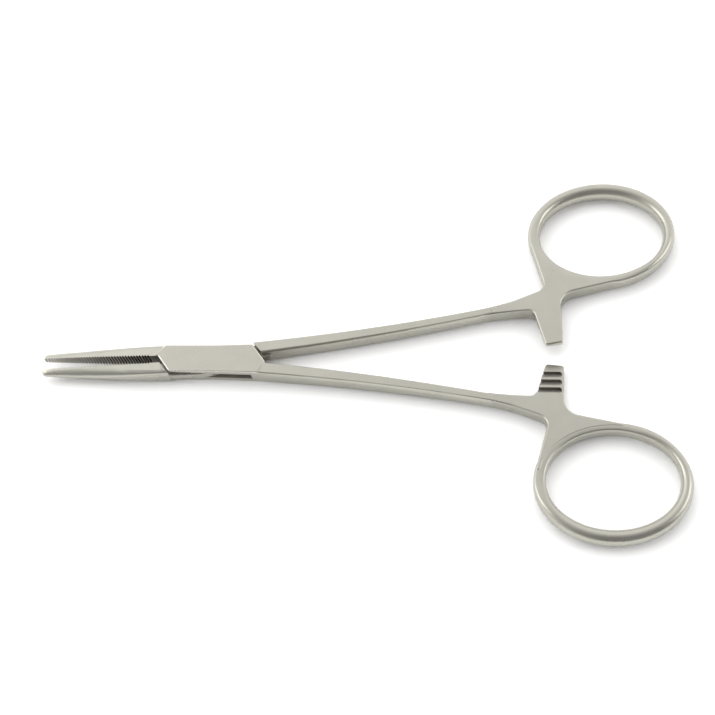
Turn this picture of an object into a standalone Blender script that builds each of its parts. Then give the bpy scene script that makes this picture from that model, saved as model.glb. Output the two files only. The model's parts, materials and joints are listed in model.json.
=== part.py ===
"""Straight haemostatic forceps of the small mosquito pattern, in metres with +Z up.

The origin is on the pivot's axis at the height of the underside. +X runs from the pivot to the
finger rings, so the jaws point to -X. The instrument lies slightly open.

Both halves are drawn in one half frame: shut, jaw on the +Y side, shank on the -Y side, middle
plane at z = 0. The tongue half is then turned over about X, as the real halves are.
"""

from math import atan2, cos, pi, radians, sin, tan

import bmesh
import bpy
from mathutils import Matrix, Vector

MM = 0.001

# Whole instrument
OPEN_ANGLE = radians(3.4)  # between the halves as they lie; shut is zero
THICKNESS = 4.2 * MM  # of the box lock, the thickest part
BLEND_STEP = 0.02 * MM  # how far the box stands proud where another form grows out of it

# Box lock
BOX_WIDTH = 5.6 * MM  # across the box at the pivot
BOX_FLARE = 0.25 * MM  # extra half width where the box meets the shank
BOX_CAMBER = 20 * MM  # radius of the sides where the flare begins
BOX_TAIL = 0.7 * MM  # how far the box's tail stays off the middle line beside the shank
BOX_NOSE = 1.2 * MM  # how far the box's flat top runs out over the jaw
LOCK_REACH = 8.1 * MM  # pivot to the near corner of each slanted lock end
LOCK_SLANT = radians(38)  # lean of the lock ends
LOCK_GAP = 0.2 * MM  # between the slanted ends of the two halves when shut
BOX_EDGE = 0.3 * MM  # rounding along the box's edges
BOX_CORNER = BOX_EDGE + 0.05 * MM  # the lock's corners seen from above, rounder than the edges
SLOT_HEIGHT = 1.7 * MM  # of the slot between the cheeks
TONGUE_PLAY = 0.1 * MM  # above and below the tongue in its slot
SLOT_SETBACK = 0.1 * MM  # the slot's mouth ends this far before the lock's near corner
SLOT_END_DEPTH = 0.4 * MM  # depth to which the mouth's end is cut square
SLOT_END_ROUND = 0.8 * MM
SLOT_SIDE = 0.3 * MM  # how far the slot's inner wall stays off the middle line
TONGUE_BEND = 0.5 * MM  # pivot to where the tongue's flush edge turns inwards
TONGUE_BEND_ROUND = 12 * MM
TONGUE_NECK = 0.5 * MM  # how far the tongue's inner edge stays from the middle line at its ends
TONGUE_ROOT = 1.4 * MM  # length of tongue that is sunk in the jaw and in the shank
TONGUE_CHAMFER = 0.4 * MM  # taken off its sunk corners

# Pivot pin, a rivet that is ground flush
PIN_RADIUS = 0.95 * MM
PIN_PLAY = 0.05 * MM
PIN_SIDES = 48

# Jaws
JAW_REACH = 34.3 * MM  # pivot to jaw tip
JAW_ROOT = 9.0 * MM  # pivot to where the jaw grows out of the box
JAW_TIP_WIDTH = 1.2 * MM
JAW_TIP_HEIGHT = 1.2 * MM
JAW_TIP_GAP = 0.04 * MM  # from each jaw's face to the middle line when shut
JAW_ROOT_GAP = 0.43 * MM  # the same at the root, because the tips meet first
JAW_TIP_ROUND = 0.7 * MM
JAW_TIP_FULLNESS = 0.35  # size of the first section as a share of the full one
JAW_HEIGHT_POWER = 0.6  # how soon the jaw gains height behind its tip
JAW_TIP_SQUARENESS = 2.1  # 2 is a half round section
JAW_ROOT_SQUARENESS = 7.0
JAW_SQUARE_POWER = 3  # how late the section turns square
TOOTH_PITCH = 0.57 * MM
TOOTH_DEPTH = 0.28 * MM
TOOTH_LAND = 0.18 * MM  # flat left on each crest
TEETH_FIRST = 0.35 * MM  # tip to the first groove
TEETH_LAST = 12.0 * MM  # pivot to the last groove

# Shanks
SHANK_START = 7.6 * MM
SHANK_START_SLOPE = -0.075
SHANK_END = 54.0 * MM  # pivot to where the shank widens into the web
SHANK_END_Y = -7.45 * MM
SHANK_END_SLOPE = -0.175
SHANK_START_WIDTH = 2.5 * MM
SHANK_END_WIDTH = 1.85 * MM
SHANK_START_EDGE = (0.35 * MM, 0.4 * MM)  # rounding of the long edges, across and down
SHANK_END_EDGE = (0.42 * MM, 1.25 * MM)
SHANK_TUCK = 0.3 * MM  # how much the shank thins inside the web
TAPER_POWER = 1.3  # jaw and shank change faster near the box

# Finger rings, set out from the shank's end
RING_SETBACK = 8.95 * MM  # to the near end of the rod's middle line
RING_DROP = 5.48 * MM  # to the near side of that line
RING_HALF_LENGTH = 12.95 * MM  # of the rod's middle line
RING_HALF_WIDTH = 10.32 * MM
RING_TILT = radians(0.9)
ROD_WIDTH = 2.8 * MM  # on the side away from the other ring
ROD_SLIM_WIDTH = 1.7 * MM  # on the side that faces the other ring
ROD_HEIGHT = 3.55 * MM
ROD_SQUARENESS = 2.2
ROD_WEB_SQUARENESS = 4.5  # where the rod is the web's rim
ROD_BLEND = radians(45)  # over which the rod turns from the one section to the other

# Web between shank, ring and ratchet arm
WEB_THICKNESS = 3.3 * MM
WEB_EDGE = 0.5 * MM
WEB_OUTER_FILLET = 2.0 * MM
WEB_INNER_FILLET = 1.2 * MM
WEB_RING_FILLET = 3.2 * MM
WEB_RING_START = radians(171)  # where the web's edge runs into the ring's rod
WEB_RING_END = radians(80)  # where it runs out of the rod again
WEB_RING_SINK = 0.2 * MM  # how far the web's corners are sunk in the rod there
WEB_NECK = 2.4 * MM  # from the first of these to the outer fillet's corner, along X
WEB_LEAD = 2.6 * MM  # how far the web starts before the shank's end
WEB_INSET = 0.3 * MM  # how far its start is sunk in the shank
WEB_BEND = 4.0 * MM  # shank's end to the bends in the web's edges
WEB_BEND_ROUND = 12 * MM
WEB_OUTER_SPREAD = (1.35, 2.1)  # slopes of the outer edge before and after its bend
WEB_INNER_SPREAD = (0.47, 0.2)  # the same for the inner edge, as shares of the shank's slope
WEB_RING_LEAVE = radians(4.2)  # between the ring's side and the edge that runs on to the arm

# Ratchet arm, set out from the shank's end
ARM_OFFSET = 8.0 * MM  # to the arm's edge on the lock's side, at its root
ARM_ROOT_WIDTH = 5.3 * MM
ARM_TIP_WIDTH = 3.3 * MM
ARM_OVERLAP = 0.45 * MM  # how far the arm passes the middle line when shut
ARM_TIP_DROP = 0.4 * MM  # slant of the arm's end
ARM_LENGTH = 6.9 * MM
ARM_TIP_ROUND = WEB_EDGE + 0.05 * MM  # rounder than the edges
RATCHET_PLAY = 0.1 * MM  # from each row of crests to the middle plane
RATCHET_LAND = 1.85 * MM  # arm's end to the first groove
RATCHET_RAMP = 0.7 * MM  # how much the land slopes away to the arm's end
RATCHET_PITCH = 1.6 * MM
RATCHET_SLOPE = 1.15 * MM  # length of each groove
RATCHET_DEPTH = 0.8 * MM
RATCHET_STOP = 0.35 * MM  # from the grooves' rounded ends to the arm's straight edge
RATCHET_END_ROUND = 0.5 * MM
RATCHET_TEETH = 3

# Facets
ARC_STEPS = 8  # in a quarter turn
ARC_MIN_STEPS = 3
CORNER_STEPS = 3
SHANK_CORNER_STEPS = 4
JAW_NOSE_STATIONS = 4
JAW_STATIONS = 16
JAW_SIDE_POINTS = 11
SHANK_STATIONS = 20
ROD_SIDES = 20
RING_SIDES = 72
WEB_RING_STEPS = 10
SMOOTH_ANGLE = radians(30)  # edges sharper than this stay sharp
PLATE_ANGLE = radians(60)  # edges of a plate sharper than this are rounded
FLAT_ANGLE = radians(0.5)  # facets that turn less than this are joined
MARGIN = 2.0 * MM  # how far a cutter reaches past what it cuts

STEEL_COLOUR = (0.62, 0.60, 0.57, 1.0)
STEEL_ROUGHNESS = 0.35
PIN_COLOUR = (0.60, 0.59, 0.57, 1.0)
PIN_ROUGHNESS = 0.3


def start_scene():
    """Empty the scene and make one collection for the parts and one for the tools."""
    for thing in list(bpy.data.objects):
        bpy.data.objects.remove(thing)
    made = []
    for name in ("haemostat_forceps", "cutters"):
        group = bpy.data.collections.new(name)
        bpy.context.scene.collection.children.link(group)
        made.append(group)
    return made


def steel(name, colour, roughness):
    """A bare metal material."""
    material = bpy.data.materials.new(name)
    material.use_nodes = True
    shader = material.node_tree.nodes["Principled BSDF"]
    shader.inputs["Base Color"].default_value = colour
    shader.inputs["Metallic"].default_value = 1.0
    shader.inputs["Roughness"].default_value = roughness
    return material


def mix(a, b, share):
    return a + (b - a) * share


def tool(name, mesh):
    """An object that only builds or cuts others."""
    thing = bpy.data.objects.new(name, mesh)
    thing.hide_render = True
    thing.display_type = "WIRE"
    CUTTERS.objects.link(thing)
    return thing


def evaluated_mesh(thing):
    """The mesh that an object's modifiers or curve settings make."""
    bpy.context.view_layer.update()
    graph = bpy.context.evaluated_depsgraph_get()
    return bpy.data.meshes.new_from_object(thing.evaluated_get(graph))


def curve_to_tool(name, curve, place):
    """Turn a curve into a welded mesh, because a curve can't take part in a Boolean."""
    drawn = bpy.data.objects.new(name + "_curve", curve)
    CUTTERS.objects.link(drawn)
    drawn.matrix_world = place
    mesh = evaluated_mesh(drawn)
    shape = bmesh.new()
    shape.from_mesh(mesh)
    bmesh.ops.remove_doubles(shape, verts=shape.verts, dist=0.001 * MM)
    bmesh.ops.dissolve_limit(shape, angle_limit=FLAT_ANGLE, verts=shape.verts, edges=shape.edges)
    bmesh.ops.recalc_face_normals(shape, faces=shape.faces)
    shape.to_mesh(mesh)
    shape.free()
    bpy.data.objects.remove(drawn)
    made = tool(name, mesh)
    made.matrix_world = place
    return made


def closed_spline(curve, points):
    """Add a closed polyline to a curve."""
    spline = curve.splines.new("POLY")
    spline.points.add(len(points) - 1)
    for knot, place in zip(spline.points, points):
        knot.co = (*place, *([0.0] * (3 - len(place))), 1.0)
    spline.use_cyclic_u = True


def plate(name, outline, low, high, edge=0.0, turn=Matrix()):
    """A flat outline extruded from low to high, with its long edges rounded by edge."""
    curve = bpy.data.curves.new(name, "CURVE")
    curve.dimensions = "2D"
    curve.fill_mode = "BOTH"
    curve.extrude = (high - low) / 2
    closed_spline(curve, outline)
    made = curve_to_tool(name, curve, turn @ Matrix.Translation((0, 0, (low + high) / 2)))
    if edge:
        bevel = made.modifiers.new("edges", "BEVEL")
        bevel.width = edge
        bevel.segments = CORNER_STEPS
        bevel.limit_method = "ANGLE"
        bevel.angle_limit = PLATE_ANGLE
    return made


def loft(name, sections, ring=False):
    """Skin a row of closed sections, then close both ends or join them to a ring."""
    shape = bmesh.new()
    rows = [[shape.verts.new(point) for point in section] for section in sections]
    pairs = list(zip(rows, rows[1:]))
    if ring:
        pairs.append((rows[-1], rows[0]))
    for near, far in pairs:
        for i in range(len(near)):
            j = (i + 1) % len(near)
            shape.faces.new((near[i], near[j], far[j], far[i]))
    if not ring:
        shape.faces.new(rows[0])
        shape.faces.new(rows[-1])
    bmesh.ops.recalc_face_normals(shape, faces=shape.faces)
    mesh = bpy.data.meshes.new(name)
    shape.to_mesh(mesh)
    shape.free()
    return tool(name, mesh)


def rounded(corners):
    """An outline from (x, y, radius) corners, each turned into an arc of that radius."""
    points = []
    for i, (x, y, radius) in enumerate(corners):
        corner = Vector((x, y))
        if not radius:
            points.append(corner)
            continue
        back = (Vector(corners[i - 1][:2]) - corner).normalized()
        ahead = (Vector(corners[(i + 1) % len(corners)][:2]) - corner).normalized()
        half = back.angle(ahead) / 2
        centre = corner + (back + ahead).normalized() * (radius / sin(half))
        first = corner + back * (radius / tan(half)) - centre
        sweep = (pi - 2 * half) * (1 if back.cross(ahead) < 0 else -1)
        steps = max(ARC_MIN_STEPS, round(ARC_STEPS * abs(sweep) / (pi / 2)))
        for step in range(steps + 1):
            points.append(centre + Matrix.Rotation(sweep * step / steps, 2) @ first)
    return points


def superellipse(angle, half_width, half_height, squareness):
    """A point on an oval that grows squarer as squareness grows."""
    across, up = cos(angle), sin(angle)
    y = half_width * abs(across) ** (2 / squareness) * (1 if across >= 0 else -1)
    z = half_height * abs(up) ** (2 / squareness) * (1 if up >= 0 else -1)
    return y, z


def use(target, tools, operation):
    """Join tools to a mesh or cut them out of it."""
    for other in tools:
        step = target.modifiers.new(other.name, "BOOLEAN")
        step.operation = operation
        step.object = other
        step.solver = "EXACT"


def lock_end(y):
    """Distance along X to the slanted lock end, for a y counted towards the jaw's own side."""
    return LOCK_REACH + tan(LOCK_SLANT) * (BOX_WIDTH / 2 + y)


def jaw_section(x):
    """The jaw's section at x: flat towards the other jaw, rounded outside."""
    along = (x + JAW_REACH) / (JAW_REACH - JAW_ROOT)
    share = min(along, 1.0)
    face = mix(JAW_TIP_GAP, JAW_ROOT_GAP, share)
    outer = mix(JAW_TIP_GAP + JAW_TIP_WIDTH, BOX_WIDTH / 2, sin(share * pi / 2))
    height = mix(JAW_TIP_HEIGHT, THICKNESS - 2 * BLEND_STEP, share**JAW_HEIGHT_POWER)
    squareness = mix(JAW_TIP_SQUARENESS, JAW_ROOT_SQUARENESS, share**JAW_SQUARE_POWER)
    nose = min((x + JAW_REACH) / JAW_TIP_ROUND, 1.0)
    fullness = mix(JAW_TIP_FULLNESS, 1.0, (1 - (1 - nose) ** 2) ** 0.5)
    points = []
    for step in range(JAW_SIDE_POINTS):
        angle = pi * step / (JAW_SIDE_POINTS - 1) - pi / 2
        y, z = superellipse(angle, (outer - face) * fullness, height * fullness / 2, squareness)
        points.append((x, face + y, z))
    return points


def jaw(name):
    """One jaw, from its rounded tip to inside the box."""
    nose = [
        -JAW_REACH + JAW_TIP_ROUND * (step / JAW_NOSE_STATIONS) ** 2
        for step in range(JAW_NOSE_STATIONS)
    ]
    length = JAW_REACH - JAW_TIP_ROUND - LOCK_REACH + BOX_EDGE
    body = [
        -JAW_REACH + JAW_TIP_ROUND + length * (step / JAW_STATIONS) ** TAPER_POWER
        for step in range(JAW_STATIONS + 1)
    ]
    return loft(name, [jaw_section(x) for x in nose + body])


def jaw_teeth(name, phase):
    """A comb that cuts the cross grooves in a jaw's face, phase being a share of one pitch."""
    first = -JAW_REACH + TEETH_FIRST + phase * TOOTH_PITCH
    count = int((-TEETH_LAST - first) / TOOTH_PITCH)
    slope = (JAW_ROOT_GAP - JAW_TIP_GAP) / (JAW_REACH - JAW_ROOT)

    def face(x):
        return JAW_TIP_GAP + slope * (x + JAW_REACH)

    outline = []
    for number in range(count + 1):
        x = first + number * TOOTH_PITCH
        for crest in (x - TOOTH_LAND / 2, x + TOOTH_LAND / 2):
            outline.append((crest, face(crest) - BLEND_STEP))
        middle = x + TOOTH_PITCH / 2
        if number < count:
            outline.append((middle, face(middle) + TOOTH_DEPTH))
    last = first + count * TOOTH_PITCH
    outline += [(last + TOOTH_LAND / 2, -MARGIN), (first - TOOTH_LAND / 2, -MARGIN)]
    return plate(name, outline, -THICKNESS, THICKNESS)


def shank_place(share):
    """Centre of the shank's section at a share of its length, on a curve set by its end slopes."""
    start_y = SHANK_START_WIDTH / 2 - BOX_WIDTH / 2 - BOX_FLARE + 2 * BLEND_STEP
    length = SHANK_END - SHANK_START
    rise = SHANK_END_Y - start_y
    a = length * SHANK_START_SLOPE
    b = length * SHANK_END_SLOPE
    y = start_y + a * share + (3 * rise - 2 * a - b) * share**2 + (a + b - 2 * rise) * share**3
    return SHANK_START + length * share, y


def shank(name):
    """The shank, tapering from the box to the web, with rounded edges."""
    start_height = THICKNESS - 2 * BLEND_STEP
    end_height = WEB_THICKNESS + 2 * BLEND_STEP
    sections = []
    for step in range(SHANK_STATIONS + 2):
        share = step / SHANK_STATIONS
        x, y = shank_place(share)
        taper = max(1 - share, 0.0) ** TAPER_POWER
        tuck = SHANK_TUCK if share > 1 else 0.0
        half_width = mix(SHANK_END_WIDTH, SHANK_START_WIDTH, taper) / 2 - tuck
        half_height = mix(end_height, start_height, taper) / 2 - tuck
        edge = [mix(end, start, taper) for end, start in zip(SHANK_END_EDGE, SHANK_START_EDGE)]
        sections.append(shank_section(x, y, half_width, half_height, edge))
    return loft(name, sections)


def shank_section(x, y, half_width, half_height, edge):
    """A rectangle with oval corners, across the shank."""
    wide, high = edge
    points = []
    for quarter, (side, up) in enumerate(((1, 1), (-1, 1), (-1, -1), (1, -1))):
        for step in range(SHANK_CORNER_STEPS + 1):
            angle = pi / 2 * (quarter + step / SHANK_CORNER_STEPS)
            across = y + side * (half_width - wide) + wide * cos(angle)
            points.append((x, across, up * (half_height - high) + high * sin(angle)))
    return points


def ring_point(angle, out=0.0):
    """A point on the ring's middle line, or as far outside that line as out."""
    place = Vector((RING_HALF_LENGTH * cos(angle), RING_HALF_WIDTH * sin(angle)))
    normal = Vector((RING_HALF_WIDTH * cos(angle), RING_HALF_LENGTH * sin(angle))).normalized()
    centre = Vector((
        SHANK_END + RING_SETBACK + RING_HALF_LENGTH,
        SHANK_END_Y - RING_DROP - RING_HALF_WIDTH,
    ))
    return centre + Matrix.Rotation(RING_TILT, 2) @ (place + normal * out)


def rod_width(angle):
    return mix(ROD_WIDTH, ROD_SLIM_WIDTH, (1 + sin(angle)) / 2)


def rod_section(angle):
    """The rod's section: oval, but squarer and as high as the web where it is the web's rim."""
    beyond = max(angle - WEB_RING_START, WEB_RING_END - angle, 0.0)
    beyond = min(beyond, WEB_RING_END + 2 * pi - angle)
    share = max(1 - beyond / ROD_BLEND, 0.0)
    share = share * share * (3 - 2 * share)
    height = mix(ROD_HEIGHT, WEB_THICKNESS - 4 * BLEND_STEP, share)
    squareness = mix(ROD_SQUARENESS, ROD_WEB_SQUARENESS, share)
    points = []
    for side in range(ROD_SIDES):
        around = 2 * pi * side / ROD_SIDES
        out, z = superellipse(around, rod_width(angle) / 2, height / 2, squareness)
        points.append((*ring_point(angle, out), z))
    return points


def finger_ring(name):
    """The finger ring: a rod bent to an oval, slimmer on the side of the other ring."""
    angles = [2 * pi * side / RING_SIDES for side in range(RING_SIDES)]
    return loft(name, [rod_section(angle) for angle in angles], ring=True)


def arm_corners():
    """The arm's four corners, root first on the lock's side, then round by its end."""
    root = SHANK_END + ARM_OFFSET
    lean = ARM_ROOT_WIDTH - ARM_TIP_WIDTH
    low = ARM_OVERLAP - ARM_LENGTH
    return (
        (root, low),
        (root + lean, ARM_OVERLAP),
        (root + ARM_ROOT_WIDTH, ARM_OVERLAP - ARM_TIP_DROP),
        (root + ARM_ROOT_WIDTH, low),
    )


def web(name):
    """The flat web that joins shank, ring and ratchet arm, with the arm's outline in it."""
    half = SHANK_END_WIDTH / 2 - WEB_INSET
    start = SHANK_END - WEB_LEAD
    start_y = SHANK_END_Y - SHANK_END_SLOPE * WEB_LEAD
    bend = SHANK_END + WEB_BEND
    root, tip, tip_far, root_far = arm_corners()
    enter, leave = (
        ring_point(angle, rod_width(angle) / 2 - WEB_RING_SINK)
        for angle in (WEB_RING_START, WEB_RING_END)
    )
    side = ring_point(WEB_RING_END, 1.0) - ring_point(WEB_RING_END)
    spread = tan(atan2(side.x, side.y) + WEB_RING_LEAVE)
    along_ring = [
        (*ring_point(mix(WEB_RING_START, WEB_RING_END, step / WEB_RING_STEPS)), 0.0)
        for step in range(WEB_RING_STEPS + 1)
    ]
    spreads = (WEB_OUTER_SPREAD, WEB_INNER_SPREAD)
    outer, inner = ([SHANK_END_SLOPE * share for share in pair] for pair in spreads)
    outer_y = start_y - half + (bend - start) * outer[0]
    inner_y = start_y + half + (bend - start) * inner[0]
    neck_x = enter.x + WEB_NECK
    corners = [
        (start, start_y + half, 0.0),
        (start, start_y - half, 0.0),
        (bend, outer_y, WEB_BEND_ROUND),
        (neck_x, outer_y + (neck_x - bend) * outer[1], WEB_OUTER_FILLET),
        (*enter, 0.0),
        *along_ring,
        (*leave, 0.0),
        (root_far[0], leave.y + (leave.x - root_far[0]) * spread, WEB_RING_FILLET),
        (*tip_far, ARM_TIP_ROUND),
        (*tip, ARM_TIP_ROUND),
        (root[0], inner_y + (root[0] - bend) * inner[1], WEB_INNER_FILLET),
        (bend, inner_y, WEB_BEND_ROUND),
    ]
    return plate(name, rounded(corners), -WEB_THICKNESS / 2, WEB_THICKNESS / 2, WEB_EDGE)


def arm_cutter(name, outline, ends):
    """A cutter across the arm, its outline of (y, z) counted from the arm's end.

    Each of ends is an x, and the middle and share by which the outline is drawn together there.
    """
    sections = [
        [(x, ARM_OVERLAP + middle + (y - middle) * share, z) for y, z in outline]
        for x, middle, share in ends
    ]
    return loft(name, sections)


def arm_relief(name):
    """Takes away the upper half of the arm, down to the ratchet's crests."""
    root, tip, tip_far, root_far = arm_corners()
    outline = [
        (-ARM_LENGTH, -RATCHET_PLAY),
        (-ARM_LENGTH, THICKNESS),
        (MARGIN, THICKNESS),
        (MARGIN, -RATCHET_PLAY - RATCHET_RAMP * (1 + MARGIN / RATCHET_LAND)),
        (-RATCHET_LAND, -RATCHET_PLAY),
    ]
    ends = ((root[0] - MARGIN, 0.0, 1.0), (root_far[0] + MARGIN, 0.0, 1.0))
    return arm_cutter(name, outline, ends)


def ratchet_grooves(name):
    """Cutters for the ratchet: each groove drops steeply, then climbs towards the arm's root."""
    root, tip, tip_far, root_far = arm_corners()
    stop = root_far[0] - RATCHET_STOP
    made = []
    for number in range(RATCHET_TEETH):
        wall = -RATCHET_LAND - number * RATCHET_PITCH
        outline = [
            (wall, -RATCHET_PLAY + MARGIN),
            (wall, -RATCHET_PLAY - RATCHET_DEPTH),
            (wall - RATCHET_SLOPE, -RATCHET_PLAY),
            (wall - RATCHET_SLOPE, -RATCHET_PLAY + MARGIN),
        ]
        middle = wall - RATCHET_SLOPE / 2
        ends = [(root[0] - MARGIN, middle, 1.0)]
        for step in range(CORNER_STEPS + 2):
            turned = pi / 2 * step / (CORNER_STEPS + 2)
            ends.append((stop - RATCHET_END_ROUND * (1 - sin(turned)), middle, cos(turned)))
        made.append(arm_cutter(f"{name}_{number + 1}", outline, ends))
    return made


def box_block(name):
    """The box's block, with its slanted ends, before the slot is cut."""
    half = BOX_WIDTH / 2
    wide = half + BOX_FLARE
    face = JAW_ROOT_GAP + BLEND_STEP
    corners = [
        (-LOCK_REACH, -half, BOX_CORNER),
        (0.0, -half, BOX_CAMBER),
        (SHANK_START + MARGIN, -wide, 0.0),
        (lock_end(BOX_TAIL), -BOX_TAIL, 0.0),
        (lock_end(-wide), wide, BOX_CORNER),
        (0.0, half, BOX_CAMBER),
        (-LOCK_REACH - BOX_NOSE, half - BLEND_STEP, 0.0),
        (-lock_end(face) - 2 * BOX_CORNER, face, 0.0),
        (-lock_end(face), face, BOX_CORNER),
    ]
    return plate(name, rounded(corners), -THICKNESS / 2, THICKNESS / 2, BOX_EDGE)


def slot(name):
    """The slot through the box, open at both sides and at both slanted ends."""
    side = BOX_WIDTH / 2
    out = side + MARGIN
    far = JAW_REACH / 2
    reach = LOCK_REACH - SLOT_SETBACK
    half = [
        (-far, -out, 0.0),
        (reach, -out, 0.0),
        (reach, -side + SLOT_END_DEPTH, SLOT_END_ROUND),
        (lock_end(SLOT_SIDE) - SLOT_SETBACK, -SLOT_SIDE, 0.0),
        (far, -SLOT_SIDE, 0.0),
    ]
    other = [(-x, -y, radius) for x, y, radius in half]
    return plate(name, rounded(half + other), -SLOT_HEIGHT / 2, SLOT_HEIGHT / 2)


def tongue(name):
    """The flat tongue that passes through the box from the jaw to the shank."""
    side = BOX_WIDTH / 2 - BLEND_STEP
    end = lock_end(0.0) + TONGUE_ROOT
    half = [
        (-end, TONGUE_NECK + TONGUE_CHAMFER, 0.0),
        (-end, side - TONGUE_CHAMFER, 0.0),
        (-LOCK_REACH, side, 0.0),
        (-TONGUE_BEND, side, TONGUE_BEND_ROUND),
        (end - TONGUE_CHAMFER, -TONGUE_NECK, 0.0),
    ]
    other = [(-x, -y, radius) for x, y, radius in half]
    reach = SLOT_HEIGHT / 2 - TONGUE_PLAY
    return plate(name, rounded(half + other), -reach, reach)


def lock_clearance(name):
    """The room that the box takes up, seen from the tongue half and grown by the lock gap."""
    out = BOX_WIDTH / 2 + MARGIN
    outline = [
        (-lock_end(-out) - LOCK_GAP, out),
        (lock_end(out) + LOCK_GAP, out),
        (lock_end(-out) + LOCK_GAP, -out),
        (-lock_end(out) - LOCK_GAP, -out),
    ]
    return plate(name, outline, -THICKNESS, THICKNESS)


def pin_hole(name):
    """The bore for the rivet, through everything."""
    bpy.ops.mesh.primitive_cylinder_add(
        vertices=PIN_SIDES, radius=PIN_RADIUS + PIN_PLAY, depth=2 * THICKNESS
    )
    made = bpy.context.object
    mesh = made.data
    bpy.data.objects.remove(made)
    return tool(name, mesh)


def finish(name, body, turned_over, turn):
    """Make a half's final object from its tools, turned to the pose in which it lies."""
    mesh = evaluated_mesh(body)
    if turned_over:
        mesh.transform(Matrix.Rotation(pi, 4, "X"))
    mesh.transform(Matrix.Translation((0, 0, THICKNESS / 2)))
    mesh.shade_smooth()
    mesh.set_sharp_from_angle(angle=SMOOTH_ANGLE)
    mesh.materials.clear()
    mesh.materials.append(steel(name + "_steel", STEEL_COLOUR, STEEL_ROUGHNESS))
    made = bpy.data.objects.new(name, mesh)
    made.rotation_euler.z = turn
    PARTS.objects.link(made)


def handle_tools(name):
    """What both halves have behind the shank: the ring, and the web with its arm."""
    return [finger_ring(name + "_ring"), web(name + "_web")]


def handle_cuts(name):
    """What both halves have cut out of the arm."""
    return [arm_relief(name + "_relief"), *ratchet_grooves(name + "_groove")]


def box_half():
    """The half that carries the box: two cheeks with the slot between them."""
    body = shank("box_shank")
    use(body, [box_block("box_block"), jaw("box_jaw"), *handle_tools("box")], "UNION")
    cuts = [slot("box_slot"), pin_hole("box_bore"), jaw_teeth("box_teeth", 0.0)]
    use(body, cuts + handle_cuts("box"), "DIFFERENCE")
    finish("box_half", body, False, -OPEN_ANGLE / 2)


def tongue_half():
    """The half whose flat tongue passes through the box."""
    body = shank("tongue_shank")
    use(body, [jaw("tongue_jaw"), *handle_tools("tongue")], "UNION")
    use(body, [lock_clearance("tongue_shoulders")], "DIFFERENCE")
    use(body, [tongue("tongue_plate")], "UNION")
    cuts = [pin_hole("tongue_bore"), jaw_teeth("tongue_teeth", 0.5)]
    use(body, cuts + handle_cuts("tongue"), "DIFFERENCE")
    finish("tongue_half", body, True, OPEN_ANGLE / 2)


def joint_pin():
    """The rivet, flush with both cheeks."""
    bpy.ops.mesh.primitive_cylinder_add(
        vertices=PIN_SIDES, radius=PIN_RADIUS, depth=THICKNESS, location=(0, 0, THICKNESS / 2)
    )
    made = bpy.context.object
    made.name = "joint_pin"
    made.data.name = "joint_pin"
    made.rotation_euler.z = -OPEN_ANGLE / 2
    made.data.shade_smooth()
    made.data.set_sharp_from_angle(angle=SMOOTH_ANGLE)
    made.data.materials.append(steel("pin_steel", PIN_COLOUR, PIN_ROUGHNESS))
    for group in made.users_collection:
        group.objects.unlink(made)
    PARTS.objects.link(made)


PARTS, CUTTERS = start_scene()
box_half()
tongue_half()
joint_pin()
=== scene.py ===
"""Straight haemostatic forceps of the small mosquito pattern, in satin stainless steel.

Metres, +Z up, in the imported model's frame: the pivot's axis is the Z axis, the rings are
towards +X and the jaws towards -X. It lies slightly open on a white table.
"""

import json
import math

import bmesh
import bpy
from mathutils import Matrix, Vector

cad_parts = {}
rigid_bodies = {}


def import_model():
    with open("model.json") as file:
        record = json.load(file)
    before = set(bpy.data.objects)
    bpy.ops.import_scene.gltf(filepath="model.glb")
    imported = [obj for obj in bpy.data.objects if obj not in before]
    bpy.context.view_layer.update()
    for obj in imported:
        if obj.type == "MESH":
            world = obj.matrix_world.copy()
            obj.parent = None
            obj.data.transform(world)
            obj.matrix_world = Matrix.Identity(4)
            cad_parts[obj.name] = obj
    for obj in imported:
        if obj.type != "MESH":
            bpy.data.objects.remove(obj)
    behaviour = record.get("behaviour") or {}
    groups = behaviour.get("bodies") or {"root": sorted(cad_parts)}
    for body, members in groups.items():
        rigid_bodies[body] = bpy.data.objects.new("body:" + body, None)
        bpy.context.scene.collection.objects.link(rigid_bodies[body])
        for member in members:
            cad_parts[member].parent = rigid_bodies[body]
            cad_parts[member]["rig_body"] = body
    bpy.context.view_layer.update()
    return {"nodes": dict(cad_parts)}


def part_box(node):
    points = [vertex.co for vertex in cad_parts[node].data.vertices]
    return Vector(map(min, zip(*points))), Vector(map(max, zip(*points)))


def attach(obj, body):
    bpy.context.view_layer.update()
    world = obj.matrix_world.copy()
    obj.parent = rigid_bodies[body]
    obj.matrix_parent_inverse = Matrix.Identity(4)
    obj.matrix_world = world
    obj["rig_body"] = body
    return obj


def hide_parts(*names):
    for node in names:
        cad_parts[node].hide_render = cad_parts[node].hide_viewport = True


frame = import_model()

for leftover in list(bpy.data.objects):
    if "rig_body" not in leftover and not leftover.name.startswith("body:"):
        bpy.data.objects.remove(leftover)


# The two halves: one with the box, one with the tongue that passes through it. Each is one
# piece of drop-forged martensitic stainless steel from jaw tip to finger ring, milled at
# the lock, the jaws and the ratchet, then tumbled and blasted with glass beads.
MM = 0.001
MERGE = 0.002 * MM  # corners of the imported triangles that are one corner
FLAT = math.radians(0.4)  # triangles that turn less than this make one flat face
SHARP = math.radians(32)  # edges sharper than this stay edges, and are broken by tumbling
EDGE_BREAK = 0.05 * MM
BORE_REACH = 1.3 * MM  # the bore's rim lies within this of the pivot's axis, and isn't broken
HALF_OPEN = math.radians(1.7)  # each half is turned by this about the pivot
MID_HEIGHT = 2.1 * MM  # table to the plane that both halves have in their middle


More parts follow.
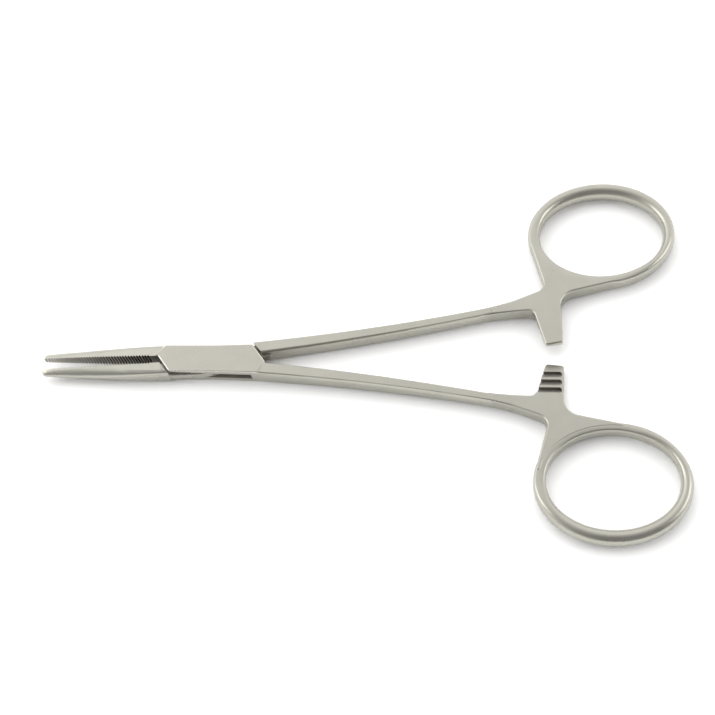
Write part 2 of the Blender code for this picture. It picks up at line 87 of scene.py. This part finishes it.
def linear(colour):
    """An sRGB hex colour as linear red, green, blue and alpha."""
    shares = [int(colour[i : i + 2], 16) / 255 for i in (1, 3, 5)]
    return [s / 12.92 if s <= 0.04045 else ((s + 0.055) / 1.055) ** 2.4 for s in shares] + [1.0]


def node(tree, kind, settings=None, links=None):
    """Add a node, set its properties or sockets by name, and link sockets into it."""
    made = tree.nodes.new(kind)
    for key, value in (settings or {}).items():
        if isinstance(key, str) and hasattr(made, key):
            setattr(made, key, value)
        else:
            made.inputs[key].default_value = value
    for key, source in (links or {}).items():
        tree.links.new(source, made.inputs[key])
    return made


CLOUD_SIZE = 7 * MM  # across the faint clouds that tumbling and handling leave in the gloss
CLOUD_LOW, CLOUD_HIGH = 0.3, 0.7  # the noise hardly leaves these


def stainless(name, dark, light, smooth, rough, grain, depth, brighter=None):
    """Stainless steel with faint clouds in its colour and gloss, and a fine grain.

    Colour goes from dark to light and roughness from smooth to rough with the clouds. grain
    is the size of the marks along X, Y and Z, and depth how deep they are. brighter gives
    two places along X, and the colour also goes from dark to light between them.
    """
    material = bpy.data.materials.new(name)
    material.use_nodes = True
    tree = material.node_tree
    shader = tree.nodes["Principled BSDF"]
    shader.inputs["Metallic"].default_value = 1.0
    place = node(tree, "ShaderNodeTexCoord").outputs["Object"]
    clouds = node(
        tree,
        "ShaderNodeTexNoise",
        {"Scale": 1 / CLOUD_SIZE, "Detail": 4.0, "Roughness": 0.6},
        {"Vector": place},
    )
    shade = clouds.outputs["Fac"]
    if brighter:
        apart = node(tree, "ShaderNodeSeparateXYZ", None, {"Vector": place})
        along = node(
            tree,
            "ShaderNodeMapRange",
            {"From Min": brighter[0], "From Max": brighter[1], "To Min": -0.5, "To Max": 0.5},
            {"Value": apart.outputs["X"]},
        )
        shade = node(
            tree,
            "ShaderNodeMath",
            {"operation": "ADD"},
            {0: shade, 1: along.outputs["Result"]},
        ).outputs["Value"]
    tint = node(
        tree,
        "ShaderNodeMix",
        {"data_type": "RGBA", 6: linear(dark), 7: linear(light)},
        {"Factor": shade},
    )
    gloss = node(
        tree,
        "ShaderNodeMapRange",
        {"From Min": CLOUD_LOW, "From Max": CLOUD_HIGH, "To Min": smooth, "To Max": rough},
        {"Value": clouds.outputs["Fac"]},
    )
    stretch = node(
        tree,
        "ShaderNodeMapping",
        {"Scale": [1 / size for size in grain]},
        {"Vector": place},
    )
    marks = node(
        tree,
        "ShaderNodeTexNoise",
        {"Scale": 1.0, "Detail": 2.0, "Roughness": 0.6},
        {"Vector": stretch.outputs["Vector"]},
    )
    bump = node(
        tree,
        "ShaderNodeBump",
        {"Strength": 1.0, "Distance": depth},
        {"Height": marks.outputs["Fac"]},
    )
    tree.links.new(tint.outputs[2], shader.inputs["Base Color"])
    tree.links.new(gloss.outputs["Result"], shader.inputs["Roughness"])
    tree.links.new(bump.outputs["Normal"], shader.inputs["Normal"])
    return material


JAW_ROOT, JAW_TIP = -10 * MM, -34 * MM  # where the teeth begin and end along X
FLANK_LIGHT_FROM, FLANK_LIGHT_TO = -17 * MM, -36 * MM  # painted light: the teeth's painted-dark flanks go paler between these

# Martensitic stainless steel, glass-bead blasted: a warm grey satin with faint clouds, and
# dimples that real beads make 0.05 mm wide, drawn 0.4 mm wide because finer ones don't show.
BLASTED = stainless(
    "glass_bead_blasted_stainless",
    dark="#A9A79D",
    light="#BBB9AF",
    smooth=0.25,
    rough=0.33,
    grain=(0.4 * MM, 0.4 * MM, 0.4 * MM),
    depth=0.003 * MM,
)

# The flanks of the jaws' teeth that look away from the tips, dull with cutter marks through
# the jaw's thickness, drawn 0.1 mm apart. Their dark colour is painted shade, the shade in
# the tight gap between the jaws and on the side turned from the lamp beyond the jaws, and
# the painted shade goes paler towards the tips.
TOOTH_PAINTED_SHADE = stainless(
    "tooth_flanks_painted_shade",
    dark="#14100D",
    light="#7C766F",
    smooth=0.42,
    rough=0.54,
    grain=(0.1 * MM, 0.1 * MM, 1.0 * MM),
    depth=0.006 * MM,
    brighter=(FLANK_LIGHT_FROM, FLANK_LIGHT_TO),
)

# The teeth's crests and the sides that face the tips, in the same milled steel with painted
# light: paler as the side that the lamp beyond the jaws lights, and paler still towards the
# tips.
TOOTH_PAINTED_LIGHT = stainless(
    "tooth_crests_painted_light",
    dark="#8C867F",
    light="#E0DCD4",
    smooth=0.30,
    rough=0.40,
    grain=(0.1 * MM, 0.1 * MM, 1.0 * MM),
    depth=0.003 * MM,
    brighter=(JAW_ROOT, JAW_TIP),
)

# The ratchet's grooves and the slot's walls, milled along the instrument and hardly reached
# by the beads: a duller, browner grey, with marks along X drawn 0.12 mm apart.
MILLED = stainless(
    "milled_stainless",
    dark="#98948D",
    light="#AEAAA3",
    smooth=0.56,
    rough=0.68,
    grain=(1.2 * MM, 0.12 * MM, 0.12 * MM),
    depth=0.006 * MM,
)

# Edges that the tumbling stones wore bright, painted paler still as a painted highlight that
# widens the edges' own: smoother and paler than the blasted faces, with their fine scuffs
# drawn 0.25 mm wide because finer ones don't show.
EDGE_WEAR_AND_HIGHLIGHT = stainless(
    "worn_edge_and_painted_highlight",
    dark="#CFCDC4",
    light="#DEDCD3",
    smooth=0.24,
    rough=0.32,
    grain=(0.25 * MM, 0.25 * MM, 0.25 * MM),
    depth=0.002 * MM,
)
FINISHES_AND_PAINTED_LIGHT = (BLASTED, TOOTH_PAINTED_SHADE, TOOTH_PAINTED_LIGHT, MILLED, EDGE_WEAR_AND_HIGHLIGHT)
TEETH_PAINTED = [FINISHES_AND_PAINTED_LIGHT.index(finish) for finish in (TOOTH_PAINTED_SHADE, TOOTH_PAINTED_LIGHT)]

DEPTH_AT_ROOT = 0.76 * MM  # from the middle line to below the teeth's grooves
DEPTH_AT_TIP = 0.34 * MM
TEETH_STEEP = 0.8  # faces that look up or down more than this are the jaw's outside
FLANK_SLANT = 0.3  # the teeth's sides that look away from the tip more than this get the painted shade
GROOVES_FROM, GROOVES_TO = -6.5 * MM, -1.45 * MM  # middle line to the ratchet's grooves
ARM_FROM, ARM_TO = 60.0 * MM, 67.4 * MM  # pivot to the ratchet arm's two sides
GROOVES_LOW, GROOVES_HIGH = -0.95 * MM, -0.12 * MM  # middle plane to the grooves
SIDEWAYS = 0.5  # the arm's own sides look along X more than this
SLOT_REACH = 8.4 * MM  # pivot to past the slot's ends
SLOT_HALF = 0.87 * MM  # middle plane to just past the slot's walls
SLOT_IN = 2.6 * MM  # the slot's walls end within the box's sides
LOCK_REACH = 10.0 * MM  # pivot to past the box's ends
RIM_HEIGHT = 1.7 * MM  # the lock's rims lie further than this from the middle plane
RIM_FLAT, RIM_STEEP = 0.97, 0.2  # how much they look up or down, at most and at least


def finish_or_painted_light_of(middle, normal, boxed):
    """Which finish or painted light a face gets, from its middle and normal in its half's own
    frame.
    """
    steep = abs(normal.z)
    along = (middle.x - JAW_ROOT) / (JAW_TIP - JAW_ROOT)
    depth = DEPTH_AT_ROOT + (DEPTH_AT_TIP - DEPTH_AT_ROOT) * along
    if middle.x < JAW_ROOT and middle.y < depth and steep < TEETH_STEEP:
        # painted shade on the teeth's sides that look away from the tip, painted light on the
        # rest
        return FINISHES_AND_PAINTED_LIGHT.index(TOOTH_PAINTED_SHADE if normal.x > FLANK_SLANT else TOOTH_PAINTED_LIGHT)
    on_arm = ARM_FROM < middle.x < ARM_TO and GROOVES_FROM < middle.y < GROOVES_TO
    if on_arm and GROOVES_LOW < middle.z < GROOVES_HIGH and abs(normal.x) < SIDEWAYS:
        return FINISHES_AND_PAINTED_LIGHT.index(MILLED)
    if abs(middle.x) < SLOT_REACH and abs(middle.z) < SLOT_HALF and abs(middle.y) < SLOT_IN:
        return FINISHES_AND_PAINTED_LIGHT.index(MILLED)
    # the lock's rims get the pale edge colour: tumbling wear and a painted highlight
    on_rim = abs(middle.x) < LOCK_REACH and abs(middle.z) > RIM_HEIGHT
    if boxed and on_rim and RIM_STEEP < steep < RIM_FLAT:
        return FINISHES_AND_PAINTED_LIGHT.index(EDGE_WEAR_AND_HIGHLIGHT)
    return FINISHES_AND_PAINTED_LIGHT.index(BLASTED)


def forging(name, source, body, to_half):
    """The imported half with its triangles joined, its curves smooth and its edges broken."""
    shape = bmesh.new()
    shape.from_mesh(frame["nodes"][source].data)
    bmesh.ops.remove_doubles(shape, verts=shape.verts, dist=MERGE)
    bmesh.ops.dissolve_limit(shape, angle_limit=FLAT, verts=shape.verts, edges=shape.edges)
    turn_only = to_half.to_3x3()
    for face in shape.faces:
        middle = to_half @ face.calc_center_median()
        face.material_index = finish_or_painted_light_of(middle, turn_only @ face.normal, source == "box_half")
        face.smooth = face.material_index not in TEETH_PAINTED
    broken = shape.edges.layers.float.new("bevel_weight_edge")
    for edge in shape.edges:
        middle = (edge.verts[0].co + edge.verts[1].co) / 2
        on_teeth = any(face.material_index in TEETH_PAINTED for face in edge.link_faces)
        in_bore = middle.xy.length < BORE_REACH
        if edge.calc_face_angle(0.0) > SHARP and not in_bore and not on_teeth:
            edge[broken] = 1.0
    mesh = bpy.data.meshes.new(name)
    shape.to_mesh(mesh)
    shape.free()
    mesh.set_sharp_from_angle(angle=SHARP)
    for finish in FINISHES_AND_PAINTED_LIGHT:
        mesh.materials.append(finish)
    piece = bpy.data.objects.new(name, mesh)
    bpy.context.scene.collection.objects.link(piece)
    edges = piece.modifiers.new("broken_edges", "BEVEL")
    edges.width = EDGE_BREAK
    edges.segments = 2
    edges.limit_method = "WEIGHT"
    edges.harden_normals = True
    # the broken edges get the pale edge colour: tumbling wear and a painted highlight
    edges.material = FINISHES_AND_PAINTED_LIGHT.index(EDGE_WEAR_AND_HIGHLIGHT)
    normals = piece.modifiers.new("flat_faces_stay_flat", "WEIGHTED_NORMAL")
    normals.keep_sharp = True
    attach(piece, body)
    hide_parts(source)


drop = Matrix.Translation((0, 0, -MID_HEIGHT))
half_turn = Matrix.Rotation(math.pi, 4, "X")
forging("box_forging", "box_half", "box_body", Matrix.Rotation(HALF_OPEN, 4, "Z") @ drop)
forging(
    "tongue_forging",
    "tongue_half",
    "tongue_body",
    half_turn @ Matrix.Rotation(-HALF_OPEN, 4, "Z") @ drop,
)


# The pivot rivet: a pin of the same steel, pressed through both cheeks of the box, peened
# and ground flush, then blasted with the box, so that its ends hardly show. It fills the
# bore in the cheeks, and is thinner where the tongue turns on it.
RIVET_SIDES = 48  # as many as the bore has
RIVET_RADIUS = 0.9995 * MM
WAIST_RADIUS = 0.95 * MM
WAIST_LOW, WAIST_HIGH = 1.2 * MM, 3.0 * MM

rivet_low, rivet_high = (corner[2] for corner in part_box("joint_pin"))
outline = (
    (0.0, rivet_low),
    (RIVET_RADIUS, rivet_low),
    (RIVET_RADIUS, WAIST_LOW),
    (WAIST_RADIUS, WAIST_LOW),
    (WAIST_RADIUS, WAIST_HIGH),
    (RIVET_RADIUS, WAIST_HIGH),
    (RIVET_RADIUS, rivet_high),
    (0.0, rivet_high),
)
shape = bmesh.new()
first_side = Matrix.Rotation(-HALF_OPEN, 3, "Z")  # so that the sides lie on the bore's
corners = [shape.verts.new(first_side @ Vector((radius, 0, z))) for radius, z in outline]
for here, there in zip(corners, corners[1:]):
    shape.edges.new((here, there))
bmesh.ops.spin(
    shape,
    geom=shape.verts[:] + shape.edges[:],
    cent=(0, 0, 0),
    axis=(0, 0, 1),
    angle=2 * math.pi,
    steps=RIVET_SIDES,
    use_merge=True,
)
bmesh.ops.remove_doubles(shape, verts=shape.verts, dist=MERGE / 10)
bmesh.ops.recalc_face_normals(shape, faces=shape.faces)
bmesh.ops.dissolve_limit(shape, angle_limit=FLAT, verts=shape.verts, edges=shape.edges)
for face in shape.faces:
    face.smooth = True
mesh = bpy.data.meshes.new("flush_rivet")
shape.to_mesh(mesh)
shape.free()
mesh.set_sharp_from_angle(angle=SHARP)
mesh.materials.append(BLASTED)
rivet = bpy.data.objects.new("flush_rivet", mesh)
bpy.context.scene.collection.objects.link(rivet)
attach(rivet, "box_body")
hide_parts("joint_pin")


# The camera, which stands over the near side and looks down at the instrument. It is rolled
# back by about as much as it is turned, so that the instrument lies level in the picture.
CAMERA_TARGET = Vector((27.98, 1.43, 0.0)) * MM
CAMERA_DISTANCE = 252.75 * MM
CAMERA_TURN = math.radians(16.793)
CAMERA_ELEVATION = math.radians(63.0)
CAMERA_ROLL = math.radians(16.256)
CAMERA_LENS, CAMERA_SENSOR = 65.86, 36  # mm

turn = Matrix.Rotation(CAMERA_TURN, 3, "Z")
forward = turn @ Vector((0, math.cos(CAMERA_ELEVATION), -math.sin(CAMERA_ELEVATION)))
right = turn @ Vector((1, 0, 0))
up = right.cross(forward)
side = math.cos(CAMERA_ROLL) * right - math.sin(CAMERA_ROLL) * up
top = math.sin(CAMERA_ROLL) * right + math.cos(CAMERA_ROLL) * up
lens = bpy.data.cameras.new("camera")
lens.lens = CAMERA_LENS
lens.sensor_width = CAMERA_SENSOR
lens.clip_start = 0.01
lens.clip_end = 50
camera = bpy.data.objects.new("camera", lens)
bpy.context.scene.collection.objects.link(camera)
facing = Matrix((side, top, -forward)).transposed().to_4x4()
camera.matrix_world = Matrix.Translation(CAMERA_TARGET - forward * CAMERA_DISTANCE) @ facing
bpy.context.scene.camera = camera


# The light: a soft box over the table's far side, which the steel doesn't mirror, and one
# beyond each end of the instrument, which draw the bright streaks on rings and edges.
def soft_box(name, place, size, power, mirrored):
    """A square area lamp at a place from the instrument's middle, and turned to it.

    Metres and watts. The steel shows the lamp only where mirrored is true.
    """
    lamp = bpy.data.lights.new(name, "AREA")
    lamp.shape = "SQUARE"
    lamp.size = size
    lamp.energy = power
    made = bpy.data.objects.new(name, lamp)
    bpy.context.scene.collection.objects.link(made)
    made.location = CAMERA_TARGET + place
    made.rotation_mode = "QUATERNION"
    made.rotation_quaternion = (CAMERA_TARGET - made.location).to_track_quat("-Z", "Y")
    made.visible_glossy = mirrored


soft_box(
    "overhead_soft_box",
    place=turn @ Vector((0.0, 0.45, 0.95)),
    size=1.0,
    power=3.6,
    mirrored=False,
)
soft_box(
    "jaw_end_soft_box",
    place=Vector((-0.62, 0.0, 0.42)),
    size=0.45,
    power=0.9,
    mirrored=True,
)
soft_box(
    "ring_end_soft_box",
    place=Vector((0.62, 0.0, 0.42)),
    size=0.45,
    power=1.1,
    mirrored=True,
)


# The table: white paper, which keeps the soft shadow under the instrument. Seen or mirrored
# it is pure white, and it throws a little less light back than that.
PAPER_SEEN = "#FFFFFF"
PAPER_BOUNCE = "#D8D8D6"
TABLE_SIZE = 6.0
TABLE_DROP = 0.02 * MM  # so that the underside doesn't lie in the same plane

table_paper = bpy.data.materials.new("white_paper")
table_paper.use_nodes = True
tree = table_paper.node_tree
tree.nodes.clear()
path = node(tree, "ShaderNodeLightPath")
looked_at = node(
    tree,
    "ShaderNodeMath",
    {"operation": "MAXIMUM"},
    {0: path.outputs["Is Camera Ray"], 1: path.outputs["Is Glossy Ray"]},
)
shade = node(
    tree,
    "ShaderNodeMix",
    {"data_type": "RGBA", 6: linear(PAPER_BOUNCE), 7: linear(PAPER_SEEN)},
    {"Factor": looked_at.outputs["Value"]},
)
paper = node(tree, "ShaderNodeBsdfDiffuse", None, {"Color": shade.outputs[2]})
node(tree, "ShaderNodeOutputMaterial", None, {"Surface": paper.outputs["BSDF"]})

shape = bmesh.new()
bmesh.ops.create_grid(
    shape,
    x_segments=1,
    y_segments=1,
    size=TABLE_SIZE / 2,
    matrix=Matrix.Translation((0, 0, -TABLE_DROP)),
)
mesh = bpy.data.meshes.new("table")
shape.to_mesh(mesh)
shape.free()
mesh.materials.append(table_paper)
table = bpy.data.objects.new("table", mesh)
bpy.context.scene.collection.objects.link(table)


# The room: a white light tent, with its opening in front, below the camera. The steel
# mirrors the tent and the dark opening, and the picture's background is white all round.
OPENING_HEIGHT = math.radians(40)  # of the opening's middle above the table
OPENING_FROM, OPENING_TO = 0.15, 0.85  # cosines from its middle: its soft rim and full dark
OPENING_DARK = 0.36
TENT_BRIGHT = 1.3  # the cloth over the table, as the steel mirrors it; 1 is white
TENT_GLOW = 0.35  # more than that on the cloth high up beyond the jaws, where a lamp stands
GLOW_FROM, GLOW_TO = 0.78, 0.97  # cosines from the glow's middle
TENT_FILL = 1.1  # the table gets this many times the light that the steel mirrors
opening = turn @ Vector((0, -math.cos(OPENING_HEIGHT), math.sin(OPENING_HEIGHT)))
jaw_end = Vector((-0.75, 0.35, 0.56)).normalized()
world = bpy.data.worlds.new("light_tent")
world.use_nodes = True
tree = world.node_tree
tree.nodes.clear()
path = node(tree, "ShaderNodeLightPath")
towards = node(tree, "ShaderNodeTexCoord").outputs["Generated"]
nearness = node(
    tree,
    "ShaderNodeVectorMath",
    {"operation": "DOT_PRODUCT", 1: opening},
    {0: towards},
)
tent = node(
    tree,
    "ShaderNodeMapRange",
    {
        "From Min": OPENING_FROM,
        "From Max": OPENING_TO,
        "To Min": TENT_BRIGHT,
        "To Max": OPENING_DARK,
    },
    {"Value": nearness.outputs["Value"]},
)
to_lamp = node(
    tree,
    "ShaderNodeVectorMath",
    {"operation": "DOT_PRODUCT", 1: jaw_end},
    {0: towards},
)
glow = node(
    tree,
    "ShaderNodeMapRange",
    {"From Min": GLOW_FROM, "From Max": GLOW_TO, "To Max": TENT_GLOW},
    {"Value": to_lamp.outputs["Value"]},
)
seen_tent = node(
    tree,
    "ShaderNodeMath",
    {"operation": "ADD"},
    {0: tent.outputs["Result"], 1: glow.outputs["Result"]},
)
fill = node(
    tree,
    "ShaderNodeMath",
    {"operation": "MULTIPLY", 1: TENT_FILL},
    {0: seen_tent.outputs["Value"]},
)
mirrored = node(
    tree,
    "ShaderNodeMapRange",
    None,
    {
        "Value": path.outputs["Is Glossy Ray"],
        "To Min": fill.outputs["Value"],
        "To Max": seen_tent.outputs["Value"],
    },
)
strength = node(
    tree,
    "ShaderNodeMapRange",
    {"To Max": 1.0},
    {"Value": path.outputs["Is Camera Ray"], "To Min": mirrored.outputs["Result"]},
)
room = node(
    tree,
    "ShaderNodeBackground",
    {"Color": linear("#FFFFFF")},
    {"Strength": strength.outputs["Result"]},
)
node(tree, "ShaderNodeOutputWorld", None, {"Surface": room.outputs["Background"]})
bpy.context.scene.world = world
bpy.context.scene.view_settings.view_transform = "Standard"
